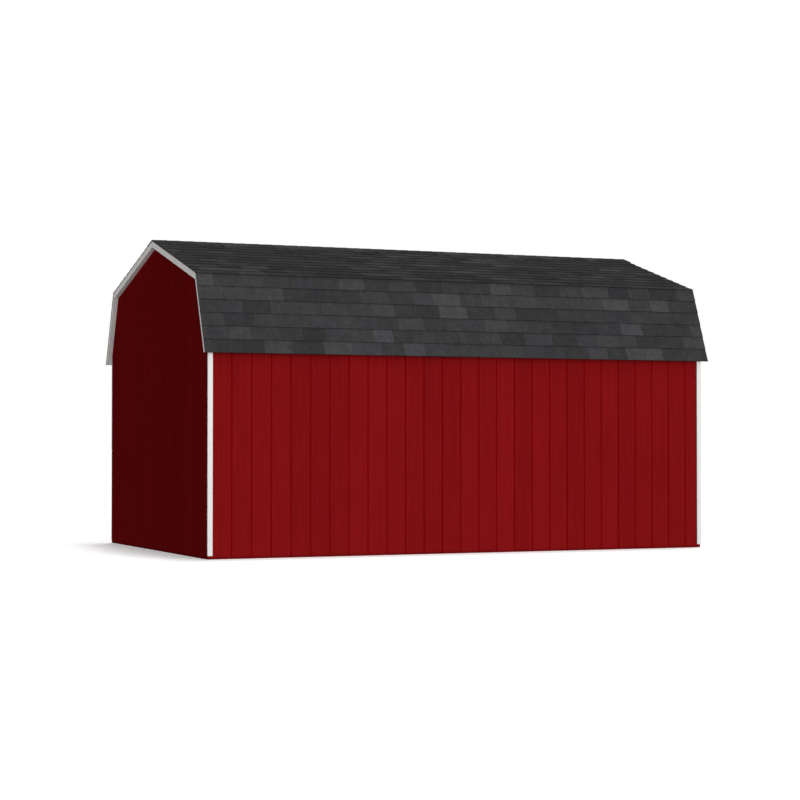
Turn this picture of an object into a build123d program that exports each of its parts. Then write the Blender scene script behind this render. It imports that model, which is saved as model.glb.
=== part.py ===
"""Gambrel shed: a small timber barn on skids, with vertical board walls and a shingled roof.

Millimetres. +X runs along the ridge, +Y from the front side wall to the back one, +Z up.
The origin is on the ground, under the middle of the shed.
"""

import os
from math import ceil, cos, radians, sin, tan

from build123d import *

# Driving dimensions: walls
shed_length = 4882.0
shed_width = 3022.0
siding_thickness = 18.0
siding_ground_gap = 2.0
stud_depth = 89.0

# Driving dimensions: floor and skids
skid_width = 89.0
skid_height = 89.0
joist_width = 38.0
joist_depth = 89.0
joist_spacing = 406.0
floor_thickness = 16.0

# Driving dimensions: roof, measured on the shingle face
eave_height = 1757.0
eave_overhang = 72.0
lower_pitch = 69.2
upper_pitch = 16.7
lower_slope_length = 746.0
sheathing_thickness = 12.0
shingle_thickness = 8.0
shingle_end_overhang = 3.0
ridge_cap_width = 150.0
ridge_cap_thickness = 4.0

# Driving dimensions: white trim
upper_rake_width = 56.0
lower_rake_width = 38.0
rake_thickness = 42.0
corner_trim_width = 44.0
corner_trim_thickness = 14.0
corner_trim_ground_gap = 31.0

# Places worked out from the driving dimensions
half_length = shed_length / 2
half_width = shed_width / 2
frame_half_length = half_length - siding_thickness
frame_half_width = half_width - siding_thickness
joist_top = skid_height + joist_depth
floor_top = joist_top + floor_thickness

eave_half_width = half_width + eave_overhang
break_half_width = eave_half_width - lower_slope_length * cos(radians(lower_pitch))
break_height = eave_height + lower_slope_length * sin(radians(lower_pitch))
ridge_height = break_height + break_half_width * tan(radians(upper_pitch))
sheathing_depth = shingle_thickness + sheathing_thickness
roof_half_length = half_length + rake_thickness + shingle_end_overhang

SIDES = {"front": -1, "back": 1}
ENDS = {"left": -1, "right": 1}


# Roof lines
def lower_roof_height(y, depth):
    """Height of the lower slope's line at a distance y from the middle, depth below the shingle face."""
    slope = tan(radians(lower_pitch))
    return eave_height + (eave_half_width - y) * slope - depth / cos(radians(lower_pitch))


def eave_point(depth):
    """Where a layer of the lower slope ends, on the level cut at the eave."""
    return (eave_half_width - depth / sin(radians(lower_pitch)), eave_height)


def break_point(lower_depth, upper_depth):
    """Where a line of the lower slope meets one of the upper slope, on the mitre at the gambrel break."""
    lower_slope, upper_slope = tan(radians(lower_pitch)), tan(radians(upper_pitch))
    lower_at_middle = lower_roof_height(0, lower_depth)
    upper_at_middle = ridge_point(upper_depth)[1]
    y = (lower_at_middle - upper_at_middle) / (lower_slope - upper_slope)
    return (y, upper_at_middle - y * upper_slope)


def ridge_point(depth):
    """Where the two upper slopes of a layer meet, on the plumb cut at the ridge."""
    return (0, ridge_height - depth / cos(radians(upper_pitch)))


def slope_outlines(top, lower_bottom, upper_bottom):
    """Sections of a layer on both slopes, from a top depth below the shingle face to a bottom depth."""
    outer_mitre, inner_mitre = break_point(top, top), break_point(lower_bottom, upper_bottom)
    return {
        "lower": [eave_point(top), eave_point(lower_bottom), inner_mitre, outer_mitre],
        "upper": [outer_mitre, inner_mitre, ridge_point(upper_bottom), ridge_point(top)],
    }


def mirrored(outline, side):
    """The same outline on the front (-1) or back (1) side of the ridge."""
    return [(side * y, z) for y, z in outline]


# Ways of making a piece
def save(part, name):
    """Labels a finished piece and writes it."""
    part.label = name
    export_step(part, f"parts/{name}.step")


def lengthwise(name, outline, x_start, x_end):
    """A piece with one cross-section, drawn in Y and Z, that runs along the ridge."""
    with BuildPart() as piece:
        with BuildSketch(Plane.YZ.offset(x_start)):
            Polygon(*outline, align=None)
        extrude(amount=x_end - x_start)
    save(piece.part, name)


def end_span(end, inner, outer):
    """Start and end along X of a layer of the left (-1) or right (1) end wall."""
    return sorted((end * inner, end * outer))


# Skids under the floor
def make_skids():
    lying = (Align.CENTER, Align.CENTER, Align.MIN)
    outer_skid = frame_half_width - skid_width / 2
    for place, y in {"front": -outer_skid, "middle": 0, "back": outer_skid}.items():
        with BuildPart() as skid:
            with Locations((0, y, 0)):
                Box(2 * frame_half_length, skid_width, skid_height, align=lying)
        save(skid.part, f"{place}_skid")


# Floor frame and floor
def make_floor():
    lying = (Align.CENTER, Align.CENTER, Align.MIN)
    for place, side in SIDES.items():
        with BuildPart(Plane.XY.offset(skid_height)) as rim:
            with Locations((0, side * (frame_half_width - joist_width / 2))):
                Box(2 * frame_half_length, joist_width, joist_depth, align=lying)
        save(rim.part, f"{place}_rim_joist")

    joist_run = 2 * frame_half_length - joist_width
    bays = ceil(joist_run / joist_spacing)
    with BuildPart(Plane.XY.offset(skid_height)) as joists:
        with GridLocations(joist_run / bays, 0, bays + 1, 1):
            Box(joist_width, 2 * (frame_half_width - joist_width), joist_depth, align=lying)
    save(joists.part, "floor_joists")

    with BuildPart(Plane.XY.offset(joist_top)) as floor:
        Box(2 * frame_half_length, 2 * frame_half_width, floor_thickness, align=lying)
    save(floor.part, "floor_panel")


# Side walls: a stud wall on the floor, with siding that laps down over the floor frame
def make_side_walls():
    inner, outer = frame_half_width - stud_depth, frame_half_width
    plate_top = lower_roof_height(outer, sheathing_depth)
    wall_half_length = frame_half_length - stud_depth
    for place, side in SIDES.items():
        wall = [(inner, floor_top), (outer, floor_top), (outer, plate_top), (inner, plate_top)]
        lengthwise(f"{place}_wall", mirrored(wall, side), -wall_half_length, wall_half_length)
        siding = [
            (outer, siding_ground_gap),
            (half_width, siding_ground_gap),
            (half_width, lower_roof_height(half_width, sheathing_depth)),
            (outer, plate_top),
        ]
        lengthwise(f"{place}_siding", mirrored(siding, side), -half_length, half_length)


# End walls: the gambrel shape, between the side sidings and under the sheathing
def end_wall_outline(bottom):
    plate = (frame_half_width, lower_roof_height(frame_half_width, sheathing_depth))
    half = [(frame_half_width, bottom), plate, break_point(sheathing_depth, sheathing_depth)]
    return half + [ridge_point(sheathing_depth)] + mirrored(half[::-1], -1)


def make_end_walls():
    for place, end in ENDS.items():
        wall_span = end_span(end, frame_half_length - stud_depth, frame_half_length)
        lengthwise(f"{place}_end_wall", end_wall_outline(floor_top), *wall_span)
        siding_span = end_span(end, frame_half_length, half_length)
        lengthwise(f"{place}_end_siding", end_wall_outline(siding_ground_gap), *siding_span)


# Corner trim: one board on each side wall beside each end
def make_corner_trim():
    face = half_width + corner_trim_thickness
    board = [
        (half_width, corner_trim_ground_gap),
        (face, corner_trim_ground_gap),
        (face, lower_roof_height(face, sheathing_depth)),
        (half_width, lower_roof_height(half_width, sheathing_depth)),
    ]
    for side_name, side in SIDES.items():
        for end_name, end in ENDS.items():
            span = end_span(end, half_length - corner_trim_width, half_length)
            lengthwise(f"{side_name}_{end_name}_corner_trim", mirrored(board, side), *span)


# Roof: sheathing, shingles and ridge cap
def make_roof():
    layers = {
        "sheathing": (shingle_thickness, sheathing_depth, half_length),
        "shingles": (0, shingle_thickness, roof_half_length),
    }
    for layer, (top, bottom, reach) in layers.items():
        for slope, outline in slope_outlines(top, bottom, bottom).items():
            for place, side in SIDES.items():
                lengthwise(f"{place}_{slope}_{layer}", mirrored(outline, side), -reach, reach)


def make_ridge_cap():
    ridge = ridge_point(0)[1]
    top_ridge = ridge_point(-ridge_cap_thickness)[1]
    drop = ridge_cap_width * tan(radians(upper_pitch))
    wing = [(ridge_cap_width, ridge - drop), (ridge_cap_width, top_ridge - drop)]
    section = wing + [(0, top_ridge)] + mirrored(wing[::-1], -1) + [(0, ridge)]
    lengthwise("ridge_cap", section, -roof_half_length, roof_half_length)


# Rake boards: four on each end, mitred at the breaks and the ridge, over the sheathing's edge
def make_rake_boards():
    top = shingle_thickness
    outlines = slope_outlines(top, top + lower_rake_width, top + upper_rake_width)
    for end_name, end in ENDS.items():
        span = end_span(end, half_length, half_length + rake_thickness)
        for slope, outline in outlines.items():
            for side_name, side in SIDES.items():
                lengthwise(f"{end_name}_{side_name}_{slope}_rake", mirrored(outline, side), *span)


os.makedirs("parts", exist_ok=True)
make_skids()
make_floor()
make_side_walls()
make_end_walls()
make_corner_trim()
make_roof()
make_ridge_cap()
make_rake_boards()
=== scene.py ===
"""Looks of the gambrel shed: painted board walls, white trim and a charcoal shingle roof.

Metres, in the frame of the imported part: +X along the ridge, +Y from the front wall to the back one, +Z up.
"""

import math
import random

import bmesh
import bpy
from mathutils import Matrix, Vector


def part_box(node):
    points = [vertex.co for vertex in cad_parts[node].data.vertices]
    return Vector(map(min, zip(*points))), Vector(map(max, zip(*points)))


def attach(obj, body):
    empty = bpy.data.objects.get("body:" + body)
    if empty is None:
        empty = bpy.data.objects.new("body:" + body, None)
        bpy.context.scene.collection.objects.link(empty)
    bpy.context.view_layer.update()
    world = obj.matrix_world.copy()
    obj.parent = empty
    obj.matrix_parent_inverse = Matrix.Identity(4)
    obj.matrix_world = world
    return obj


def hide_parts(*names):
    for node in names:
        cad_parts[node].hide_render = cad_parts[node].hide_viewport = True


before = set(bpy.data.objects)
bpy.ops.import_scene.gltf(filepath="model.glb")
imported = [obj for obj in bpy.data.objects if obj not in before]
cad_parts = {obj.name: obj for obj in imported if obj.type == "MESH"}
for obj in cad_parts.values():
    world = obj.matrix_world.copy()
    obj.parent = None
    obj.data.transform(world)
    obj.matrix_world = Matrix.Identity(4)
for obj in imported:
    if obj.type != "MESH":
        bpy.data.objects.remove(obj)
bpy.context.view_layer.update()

SEED = 16
rng = random.Random(SEED)

SIDES = {"front": -1, "back": 1}
ENDS = {"left": -1, "right": 1}

# Vertical boards of the walls
FIRST_BOARD_WIDTH = 0.217
BOARD_PITCH = 0.1798
BOARD_UNEVENNESS = 0.0006
BOARD_TONES = (0.94, 1.06)
GROOVE_WIDTH = 0.006
GROOVE_DEPTH = 0.006
EASED_EDGE = 0.004
# Painted shade in the grooves: the groove sides are a darker, deeper red.
GROOVE_PAINTED_SHADE = (1.02, 0.4, 0.4)
# The paint is darker towards the foot of the wall, up to this height.
FOOT_DARKENING_HEIGHT = 0.032
FOOT_DARKENING_LEVEL = 0.58

# Shingle tabs
COURSES = {"lower": 6, "upper": 11}
TAB_WIDTH = 0.238
TAB_WIDTH_SPREAD = 0.05
FIRST_TAB_SHARE = (0.2, 1)
TAB_GAP = 0.0015
TAB_THICKNESS = 0.006
TAB_EASED_EDGE = 0.001
TAB_LAP = 0.018
TAB_UNEVENNESS = 0.0015
# Painted shade on the tabs' lower edges, on the underlay and on the caps' ends
EDGE_PAINTED_SHADE = 0.5
LAP_SHADOW_HEIGHT = 0.004
# Painted shadow on a strip of each tab, just under the next course
LAP_PAINTED_SHADOW = 0.85
BREAK_OVERLAP = 0.008

# Ridge caps. The section goes over the ridge, in shares of a cap's reach to one side and of its fall.
CAP_EXPOSURE = 0.127
CAP_RISE = 0.0025
CAP_SECTION = [(-1, 1), (-0.08, 0.09), (0, 0), (0.08, 0.09), (1, 1)]

# Edges of the CAD pieces that are shown as they are
WELD_DISTANCE = 0.0001
CAD_EASED_EDGE = 0.0015
CAD_EASED_SEGMENTS = 2

# Colours, linear. Tones and tints of the tabs come with their weights.
BARN_RED = (0.200, 0.0057, 0.0067, 1)
TRIM_WHITE = (0.68, 0.667, 0.65, 1)
SHINGLE_GREY = (0.0414, 0.0414, 0.0414)
TAB_TONES = {0.82: 16, 0.92: 32, 1.03: 30, 1.15: 13, 1.36: 9}
TAB_TONE_SPREAD = (0.95, 1.05)
TAB_BLUE_TINTS = {1.0: 80, 1.1: 20}
TREATED_PALE = (0.060, 0.042, 0.030, 1)
TREATED_DARK = (0.030, 0.021, 0.016, 1)
PINE_PALE = (0.56, 0.41, 0.24, 1)
PINE_DARK = (0.40, 0.26, 0.13, 1)

# Noise in the materials: its roughness, and the range that most of its values are in
NOISE_ROUGHNESS = 0.6
NOISE_LOW = 0.3
NOISE_HIGH = 0.7

# Camera, from a fit to the photograph
CAMERA_PLACE = (-7.7185, -17.676, 1.018)
CAMERA_YAW = 23.594
CAMERA_PITCH = 1.135
CAMERA_LENS = 89.8

# Lamps: turn from the front towards the right end, height and spread, in degrees, and strength
LAMPS = {
    "key_light": (8, 2, 68, 2.5),
    "top_light": (130, 81, 12, 1.22),
    "fill_light": (35, 55, 40, 0.72),
    "back_light": (160, 8, 30, 2.2),
}

# Floor and background
SKY_STRENGTH = 0.15
BACKGROUND_WHITE = 1.0
FLOOR_SIZE = 400
FLOOR_BOUNCE = 0.34
FLOOR_WHITE = 0.95
FLOOR_FILL = 0.33

# Places of sockets on Blender's Mix node, where several sockets have one name
MIX_FACTOR = 0
MIX_A = 6
MIX_B = 7
MIX_RESULT = 2

# Places of a board's sides and a tab's sides in the ring round its section
GROOVE_SIDES = (1, 2, 3, 5, 6, 7)
TAB_LOWER_EDGE = 0
TAB_SHADOW_STRIP = 3


class Graph:
    """A node tree, with short calls to add nodes to it."""

    def __init__(self, tree):
        self.tree = tree

    def add(self, kind, inputs=None, **settings):
        """Adds a node. An input is a value, or another node's socket to link."""
        node = self.tree.nodes.new(kind)
        for name, value in settings.items():
            setattr(node, name, value)
        for key, value in (inputs or {}).items():
            self.put(node, key, value)
        return node

    def put(self, node, key, value):
        if isinstance(value, bpy.types.NodeSocket):
            self.tree.links.new(value, node.inputs[key])
        else:
            node.inputs[key].default_value = value

    def place(self, sizes):
        """Position on the shed, counted in steps of a size along each axis."""
        coordinates = self.add("ShaderNodeTexCoord").outputs["Object"]
        steps = [1 / size for size in sizes]
        return self.add("ShaderNodeMapping", {"Vector": coordinates, "Scale": steps}).outputs["Vector"]

    def noise(self, size, detail=4):
        """Noise with features of a size: one for all axes, or one for each axis."""
        sizes = size if isinstance(size, tuple) else (size, size, size)
        inputs = {"Vector": self.place(sizes), "Scale": 1, "Detail": detail, "Roughness": NOISE_ROUGHNESS}
        return self.add("ShaderNodeTexNoise", inputs).outputs["Fac"]

    def level(self, value, low, high):
        """Maps the usual range of a noise to the range from low to high."""
        inputs = {
            "Value": value,
            "From Min": NOISE_LOW,
            "From Max": NOISE_HIGH,
            "To Min": low,
            "To Max": high,
        }
        return self.add("ShaderNodeMapRange", inputs).outputs["Result"]

    def times(self, *colours):
        """Product of colours and levels."""
        product = colours[0]
        for colour in colours[1:]:
            inputs = {MIX_FACTOR: 1.0, MIX_A: product, MIX_B: colour}
            mix = self.add("ShaderNodeMix", inputs, data_type="RGBA", blend_type="MULTIPLY")
            product = mix.outputs[MIX_RESULT]
        return product

    def ramp(self, value, low, high):
        """A colour between low and high."""
        ramp = self.add("ShaderNodeValToRGB", {"Fac": value})
        ramp.color_ramp.elements[0].color = low
        ramp.color_ramp.elements[1].color = high
        return ramp.outputs["Color"]

    def shade(self):
        """The colour that each board or tab carries: its own tone, with painted shade on its grooves or
        edges.
        """
        return self.add("ShaderNodeAttribute", attribute_name="shade").outputs["Color"]

    def height(self):
        """Height above the ground."""
        coordinates = self.add("ShaderNodeTexCoord").outputs["Object"]
        return self.add("ShaderNodeSeparateXYZ", {"Vector": coordinates}).outputs["Z"]

    def seen_ray(self):
        """1 on the rays that show the background: to the camera, in reflections and through glass."""
        rays = self.add("ShaderNodeLightPath").outputs
        seen = rays["Is Camera Ray"]
        for name in ("Is Glossy Ray", "Is Transmission Ray"):
            seen = self.add("ShaderNodeMath", {0: seen, 1: rays[name]}, operation="MAXIMUM").outputs[0]
        return seen

    def bump(self, height, strength, distance):
        inputs = {"Height": height, "Strength": strength, "Distance": distance}
        return self.add("ShaderNodeBump", inputs).outputs["Normal"]


# Materials
def new_material(name):
    material = bpy.data.materials.new(name)
    material.use_nodes = True
    return material, Graph(material.node_tree), material.node_tree.nodes["Principled BSDF"]


def red_paint():
    """Flat red paint over boards whose grain runs up the wall, darker towards the foot."""
    material, graph, surface = new_material("red_paint")
    streaks = graph.noise(size=(0.017, 0.017, 0.6))
    patches = graph.noise(size=0.6)
    grain = graph.noise(size=(0.0024, 0.0024, 0.11), detail=6)
    # The paint is darker towards the foot of the wall.
    foot = {"Value": graph.height(), "From Max": FOOT_DARKENING_HEIGHT, "To Min": FOOT_DARKENING_LEVEL, "To Max": 1}
    colour = graph.times(
        BARN_RED,
        graph.shade(),
        graph.add("ShaderNodeMapRange", foot).outputs["Result"],
        graph.level(streaks, low=0.90, high=1.10),
        graph.level(patches, low=0.96, high=1.04),
        graph.level(grain, low=0.93, high=1.07),
    )
    graph.put(surface, "Base Color", colour)
    graph.put(surface, "Roughness", graph.level(streaks, low=0.72, high=0.88))
    graph.put(surface, "Specular IOR Level", 0.0)
    graph.put(surface, "Normal", graph.bump(grain, strength=0.35, distance=0.0012))
    return material


def white_paint(name, grain_size):
    """Satin white paint over boards whose grain runs along the longest size."""
    material, graph, surface = new_material(name)
    grain = graph.noise(size=grain_size, detail=5)
    patches = graph.noise(size=0.25)
    colour = graph.times(
        TRIM_WHITE,
        graph.level(grain, low=0.97, high=1.03),
        graph.level(patches, low=0.97, high=1.02),
    )
    graph.put(surface, "Base Color", colour)
    graph.put(surface, "Roughness", graph.level(patches, low=0.26, high=0.36))
    graph.put(surface, "Specular IOR Level", 0.8)
    graph.put(surface, "Normal", graph.bump(grain, strength=0.2, distance=0.0008))
    return material


def shingle_granules():
    """Mineral granules on asphalt, with the tone that each tab carries and the painted shade on its edges.
    """
    material, graph, surface = new_material("shingle_granules")
    granules = graph.noise(size=0.0024, detail=3)
    clumps = graph.noise(size=0.018, detail=3)
    mottle = graph.noise(size=0.07, detail=3)
    weather = graph.noise(size=0.4)
    colour = graph.times(
        graph.shade(),
        graph.level(granules, low=0.55, high=1.45),
        graph.level(clumps, low=0.86, high=1.14),
        graph.level(mottle, low=0.88, high=1.12),
        graph.level(weather, low=0.94, high=1.06),
    )
    graph.put(surface, "Base Color", colour)
    graph.put(surface, "Roughness", graph.level(granules, low=0.86, high=1.0))
    graph.put(surface, "Specular IOR Level", 0.0)
    graph.put(surface, "Normal", graph.bump(granules, strength=0.6, distance=0.0015))
    return material


def timber(name, pale, dark, grain_size):
    """Bare softwood whose grain runs along the longest size."""
    material, graph, surface = new_material(name)
    grain = graph.noise(size=grain_size, detail=6)
    patches = graph.noise(size=0.33)
    wood = graph.ramp(graph.level(grain, low=0, high=1), dark, pale)
    graph.put(surface, "Base Color", graph.times(wood, graph.level(patches, low=0.88, high=1.1)))
    graph.put(surface, "Roughness", graph.level(grain, low=0.65, high=0.85))
    graph.put(surface, "Normal", graph.bump(grain, strength=0.3, distance=0.001))
    return material


def strand_board():
    """Pressed wood strands of many tones."""
    material, graph, surface = new_material("strand_board")
    wander = graph.noise(size=0.11)
    place = graph.place(sizes=(0.07, 0.025, 0.025))
    strands = graph.add("ShaderNodeTexVoronoi", {"Vector": place, "Scale": 1})
    wood = graph.ramp(strands.outputs["Color"], PINE_DARK, PINE_PALE)
    graph.put(surface, "Base Color", graph.times(wood, graph.level(wander, low=0.8, high=1.05)))
    graph.put(surface, "Roughness", graph.level(wander, low=0.7, high=0.85))
    graph.put(surface, "Normal", graph.bump(strands.outputs["Distance"], strength=0.3, distance=0.001))
    return material


# Shapes that more than one piece uses
class Slope:
    """One slope of the roof: its foot, the way up it, the way out of it, and its length."""

    def __init__(self, foot, top, side):
        self.foot = Vector((0, *foot))
        rise = Vector((0, *top)) - self.foot
        self.length = rise.length
        self.up = rise.normalized()
        self.out = Vector((0, side * self.up.z, -side * self.up.y))

    def at(self, x, along, depth):
        """A point on the slope, at a depth below the shingle face."""
        return self.foot + self.up * along - self.out * depth + Vector((x, 0, 0))

    def depth_of(self, node):
        """Depth below the shingle face of a CAD node's lowest corner."""
        corners = [vertex.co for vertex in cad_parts[node].data.vertices]
        return max((self.foot - corner).dot(self.out) for corner in corners)


def roof_slopes():
    """The four slopes, from the outer faces of the CAD shingles."""
    slopes = {}
    for place, side in SIDES.items():
        lower_low, lower_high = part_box(f"{place}_lower_shingles")
        upper_low, upper_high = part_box(f"{place}_upper_shingles")
        outer = lower_low[1] if side < 0 else lower_high[1]
        knuckle = upper_low[1] if side < 0 else upper_high[1]
        eave, fold, ridge = (outer, lower_low[2]), (knuckle, lower_high[2]), (0, upper_high[2])
        slopes[place, "lower"] = Slope(eave, fold, side)
        slopes[place, "upper"] = Slope(fold, ridge, side)
    return slopes


def ring_sides(bm, near, far):
    """Faces from each edge of a ring of vertices to the same edge of another ring, in ring order."""
    count = len(near)
    sides = []
    for here in range(count):
        after = (here + 1) % count
        sides.append(bm.faces.new((near[here], far[here], far[after], near[after])))
    return sides


def prism(bm, ring, offset):
    """A closed prism from a ring of points to the same ring moved by an offset. Returns its sides."""
    near = [bm.verts.new(point) for point in ring]
    far = [bm.verts.new(Vector(point) + offset) for point in ring]
    bm.faces.new(near)
    bm.faces.new(far[::-1])
    return ring_sides(bm, near, far)


def whole(sides):
    """All the faces of the prism that has these sides."""
    return {face for side in sides for vertex in side.verts for face in vertex.link_faces}


def paint(faces, layer, colour):
    """Gives the faces the colour that the material reads as their shade."""
    for face in faces:
        for loop in face.loops:
            loop[layer] = (*colour, 1)


def shaded(colour, tone):
    return [tone * part for part in colour]


def shown_piece(name, bm, material, slot, *nodes):
    """Turns a finished mesh into a piece of the shed that stands for CAD nodes."""
    bmesh.ops.recalc_face_normals(bm, faces=bm.faces)
    mesh = bpy.data.meshes.new(name)
    bm.to_mesh(mesh)
    bm.free()
    piece = bpy.data.objects.new(name, mesh)
    bpy.context.collection.objects.link(piece)
    mesh.materials.append(material)
    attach(piece, "root")
    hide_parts(*nodes)


# Board walls
def board_section(start, end, stand, thickness):
    """Ring round one lapped board: places along the wall, and depths below the wall's face."""
    left, right = start + GROOVE_WIDTH / 2, end - GROOVE_WIDTH / 2
    return [
        (start, thickness),
        (start, GROOVE_DEPTH),
        (left, GROOVE_DEPTH),
        (left, stand + EASED_EDGE),
        (left + EASED_EDGE, stand),
        (right - EASED_EDGE, stand),
        (right, stand + EASED_EDGE),
        (right, GROOVE_DEPTH),
        (end, GROOVE_DEPTH),
        (end, thickness),
    ]


def board_edges(low, high):
    """Places of the board joints along a wall, both ends included."""
    edges = [low]
    place = low + FIRST_BOARD_WIDTH
    while place < high:
        edges.append(place)
        place += BOARD_PITCH
    return edges + [high]


def cut_under_roof(bm, slopes, depth):
    """Cuts the boards to the underside of the roof."""
    for slope in slopes.values():
        geometry = bm.verts[:] + bm.edges[:] + bm.faces[:]
        plane = {"plane_co": slope.at(0, 0, depth), "plane_no": slope.out}
        cut = bmesh.ops.bisect_plane(bm, geom=geometry, clear_outer=True, **plane)
        edges = [part for part in cut["geom_cut"] if isinstance(part, bmesh.types.BMEdge)]
        bmesh.ops.holes_fill(bm, edges=edges, sides=0)


def board_wall(node, along, outward, slopes, depth, material):
    """The boards of one wall. They follow each other on the axis whose index is along."""
    low, high = (Vector(corner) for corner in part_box(node))
    across = 1 - along
    face = high[across] if outward > 0 else low[across]
    thickness = high[across] - low[across]
    past_roof = Vector((0, 0, high.z - low.z + thickness))
    bm = bmesh.new()
    layer = bm.loops.layers.float_color.new("shade")
    edges = board_edges(low[along], high[along])
    for start, end in zip(edges, edges[1:]):
        stand = rng.uniform(0, BOARD_UNEVENNESS)
        tone = rng.uniform(*BOARD_TONES)
        ring = []
        for place, below in board_section(start, end, stand, thickness):
            point = Vector((0, 0, low.z))
            point[along] = place
            point[across] = face - outward * below
            ring.append(point)
        sides = prism(bm, ring, past_roof)
        paint(sides, layer, (tone, tone, tone))
        # Painted shade: the groove sides are darker and a deeper red.
        paint([sides[index] for index in GROOVE_SIDES], layer, shaded(GROOVE_PAINTED_SHADE, tone))
    cut_under_roof(bm, slopes, depth)
    shown_piece(f"{node}_boards", bm, material, "red_siding", node)


def make_walls(slopes):
    material = red_paint()
    depth = slopes["front", "upper"].depth_of("front_upper_sheathing")
    for place, side in SIDES.items():
        board_wall(f"{place}_siding", 0, side, slopes, depth, material)
    for place, end in ENDS.items():
        board_wall(f"{place}_end_siding", 1, end, slopes, depth, material)


# Shingles
def weighted_choice(weights):
    """One of the values, each as likely as its weight says."""
    return rng.choices(list(weights), list(weights.values()))[0]


def tab_colour():
    tone = weighted_choice(TAB_TONES) * rng.uniform(*TAB_TONE_SPREAD)
    red, green, blue = shaded(SHINGLE_GREY, tone)
    return red, green, blue * weighted_choice(TAB_BLUE_TINTS)


def tab_edges(low, high):
    """Places of the joints between the tabs of one course, both ends included."""
    edges = [low]
    place = low + rng.uniform(*FIRST_TAB_SHARE) * TAB_WIDTH
    while place < high - TAB_WIDTH_SPREAD:
        edges.append(place)
        place += TAB_WIDTH + rng.uniform(-TAB_WIDTH_SPREAD, TAB_WIDTH_SPREAD)
    return edges + [high]


def add_tab(bm, layer, slope, start, end, foot, top):
    """One tab, thick at its lower edge and thinning up the slope to where the next course covers it."""
    lift = rng.uniform(0, TAB_UNEVENNESS / 2)
    foot += rng.uniform(0, TAB_UNEVENNESS)
    reach = min(top + TAB_LAP, slope.length)
    thinning = TAB_THICKNESS / (top - foot)
    shadow, tail = top - LAP_SHADOW_HEIGHT, thinning * (reach - foot)
    section = [
        (foot, TAB_THICKNESS),
        (foot, lift + TAB_EASED_EDGE),
        (foot + TAB_EASED_EDGE, lift),
        (shadow, thinning * (shadow - foot)),
        (reach, tail),
        (reach, tail + TAB_EASED_EDGE),
    ]
    ring = [slope.at(start + TAB_GAP / 2, along, depth) for along, depth in section]
    sides = prism(bm, ring, Vector((end - start - TAB_GAP, 0, 0)))
    colour = tab_colour()
    paint(whole(sides), layer, colour)
    # Painted shade on the lower edge, and painted shadow on the strip under the next course.
    paint([sides[TAB_LOWER_EDGE]], layer, shaded(colour, EDGE_PAINTED_SHADE))
    paint([sides[TAB_SHADOW_STRIP]], layer, shaded(colour, LAP_PAINTED_SHADOW))


def add_underlay(bm, layer, slope, low, high, thickness):
    """The sheet of asphalt that the tabs lie on."""
    buried = (TAB_THICKNESS + thickness) / 2
    section = [(0, TAB_THICKNESS), (slope.length, buried), (slope.length, thickness), (0, thickness)]
    ring = [slope.at(low, along, depth) for along, depth in section]
    sides = prism(bm, ring, Vector((high - low, 0, 0)))
    # Painted shade: the sheet is as dark as the tabs' lower edges.
    paint(whole(sides), layer, shaded(SHINGLE_GREY, EDGE_PAINTED_SHADE))


def shingle_slope(place, level, slope, material):
    """The courses of one slope. The first one of an upper slope hangs over the break."""
    node = f"{place}_{level}_shingles"
    low, high = (corner[0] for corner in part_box(node))
    bm = bmesh.new()
    layer = bm.loops.layers.float_color.new("shade")
    exposure = slope.length / COURSES[level]
    add_underlay(bm, layer, slope, low, high, slope.depth_of(node))
    for course in range(COURSES[level]):
        foot = course * exposure
        if level == "upper" and course == 0:
            foot -= BREAK_OVERLAP
        edges = tab_edges(low, high)
        for start, end in zip(edges, edges[1:]):
            add_tab(bm, layer, slope, start, end, foot, (course + 1) * exposure)
    shown_piece(f"{node}_tabs", bm, material, "shingles", node)


def add_cap(bm, layer, start, end, ridge, reach, drop):
    """One folded cap, which rises from its covered end to the end that lies on the next cap."""
    rings = []
    for x, sink in ((start, CAP_RISE), (end, 0)):
        top = [(x, reach * across, ridge - reach * drop * fall - sink) for across, fall in CAP_SECTION]
        bottom = [(x, y, z - TAB_THICKNESS) for _, y, z in reversed(top)]
        rings.append([bm.verts.new(point) for point in top + bottom])
    near, far = rings
    sides = ring_sides(bm, near, far)
    ends = [bm.faces.new(near), bm.faces.new(far[::-1])]
    colour = tab_colour()
    paint(sides, layer, colour)
    # Painted shade on the cap's ends.
    paint(ends, layer, shaded(colour, EDGE_PAINTED_SHADE))


def make_ridge_caps(slope, material):
    """Folded caps along the ridge, each lapped over the next."""
    low, high = (Vector(corner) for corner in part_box("ridge_cap"))
    reach, drop = high.y, slope.up.z / slope.up.y
    bm = bmesh.new()
    layer = bm.loops.layers.float_color.new("shade")
    count = round((high.x - low.x) / CAP_EXPOSURE)
    exposure = (high.x - low.x) / count
    for index in range(count):
        start = low.x + index * exposure
        end = min(start + exposure + TAB_LAP, high.x)
        add_cap(bm, layer, start, end, high.z, reach, drop)
    shown_piece("ridge_caps", bm, material, "shingles", "ridge_cap")


def make_roof(slopes):
    material = shingle_granules()
    for (place, level), slope in slopes.items():
        shingle_slope(place, level, slope, material)
    make_ridge_caps(slopes["front", "upper"], material)


# CAD pieces whose shape is right
def dress(node, material):
    """Gives a CAD piece its material and softly eased edges."""
    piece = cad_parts[node]
    piece.data.materials.clear()
    piece.data.materials.append(material)
    weld = piece.modifiers.new("weld", "WELD")
    weld.merge_threshold = WELD_DISTANCE
    bevel = piece.modifiers.new("eased_edges", "BEVEL")
    bevel.width = CAD_EASED_EDGE
    bevel.segments = CAD_EASED_SEGMENTS


def dress_trim():
    upright = white_paint("white_paint_upright", grain_size=(0.006, 0.006, 0.2))
    sloping = white_paint("white_paint_sloping", grain_size=(0.006, 0.08, 0.08))
    for place in SIDES:
        for end in ENDS:
            dress(f"{place}_{end}_corner_trim", upright)
            for level in COURSES:
                dress(f"{end}_{place}_{level}_rake", sloping)


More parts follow.
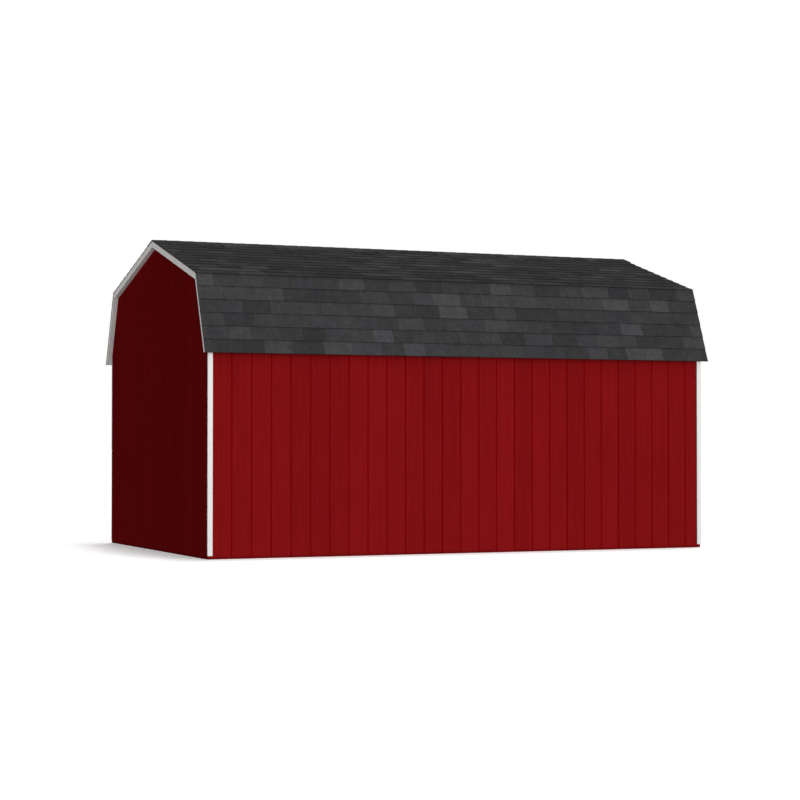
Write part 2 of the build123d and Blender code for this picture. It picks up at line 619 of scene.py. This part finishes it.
def dress_timber(slopes):
    lengthwise = timber("treated_timber", TREATED_PALE, TREATED_DARK, grain_size=(0.25, 0.008, 0.008))
    crosswise = timber("joist_timber", TREATED_PALE, TREATED_DARK, grain_size=(0.008, 0.25, 0.008))
    panel = timber("floor_plywood", PINE_PALE, PINE_DARK, grain_size=(0.17, 0.017, 0.017))
    studs = timber("stud_timber", PINE_PALE, PINE_DARK, grain_size=(0.012, 0.012, 0.25))
    strands = strand_board()
    for node in ("front_skid", "middle_skid", "back_skid", "front_rim_joist", "back_rim_joist"):
        dress(node, lengthwise)
    dress("floor_joists", crosswise)
    dress("floor_panel", panel)
    for node in ("front_wall", "back_wall", "left_end_wall", "right_end_wall"):
        dress(node, studs)
    for place, level in slopes:
        dress(f"{place}_{level}_sheathing", strands)


# Stage
def floor_material():
    """White with the shed's shadow to the camera, and an even soft light to the shed."""
    material = bpy.data.materials.new("studio_floor")
    material.use_nodes = True
    nodes = material.node_tree.nodes
    nodes.remove(nodes["Principled BSDF"])
    graph = Graph(material.node_tree)
    bounce = graph.add("ShaderNodeEmission", {"Strength": FLOOR_BOUNCE})
    white = graph.add("ShaderNodeBsdfDiffuse", {"Color": (FLOOR_WHITE, FLOOR_WHITE, FLOOR_WHITE, 1)})
    fill = graph.add("ShaderNodeEmission", {"Strength": FLOOR_FILL})
    seen = graph.add("ShaderNodeAddShader", {0: white.outputs[0], 1: fill.outputs[0]})
    mix = graph.add("ShaderNodeMixShader", {0: graph.seen_ray(), 1: bounce.outputs[0], 2: seen.outputs[0]})
    graph.put(nodes["Material Output"], "Surface", mix.outputs[0])
    return material


def make_floor():
    bpy.ops.mesh.primitive_plane_add(size=FLOOR_SIZE)
    floor = bpy.context.object
    floor.name = "studio_floor"
    floor.data.materials.append(floor_material())
    # Half of the wide, low key light is below the horizon, and the floor must not hide it from the shed.
    floor.visible_shadow = False


def make_world():
    """Even soft light from all round, with a white background."""
    world = bpy.data.worlds.new("studio")
    bpy.context.scene.world = world
    world.use_nodes = True
    graph = Graph(world.node_tree)
    background = world.node_tree.nodes["Background"]
    background.inputs["Color"].default_value = (1, 1, 1, 1)
    inputs = {"Value": graph.seen_ray(), "To Min": SKY_STRENGTH, "To Max": BACKGROUND_WHITE}
    graph.put(background, "Strength", graph.add("ShaderNodeMapRange", inputs).outputs["Result"])


def make_lamps():
    """Soft lamps: a wide key light from the front, one from above, a fill and one from behind."""
    for name, (turn, height, spread, strength) in LAMPS.items():
        lamp = bpy.data.lights.new(name, "SUN")
        lamp.energy = strength
        lamp.angle = math.radians(spread)
        sun = bpy.data.objects.new(name, lamp)
        bpy.context.collection.objects.link(sun)
        turn, height = math.radians(turn), math.radians(height)
        level = math.cos(height)
        towards = Vector((level * math.sin(turn), -level * math.cos(turn), math.sin(height)))
        sun.rotation_euler = towards.to_track_quat("Z", "Y").to_euler()


def make_camera():
    lens = bpy.data.cameras.new("camera")
    lens.lens = CAMERA_LENS
    lens.clip_end = FLOOR_SIZE
    camera = bpy.data.objects.new("camera", lens)
    bpy.context.collection.objects.link(camera)
    camera.location = CAMERA_PLACE
    # A camera that is turned 90 degrees about X looks level.
    camera.rotation_euler = (math.radians(90 + CAMERA_PITCH), 0, math.radians(-CAMERA_YAW))
    bpy.context.scene.camera = camera


bpy.context.scene.view_settings.view_transform = "Standard"
slopes = roof_slopes()
make_walls(slopes)
make_roof(slopes)
dress_trim()
dress_timber(slopes)
make_floor()
make_world()
make_lamps()
make_camera()
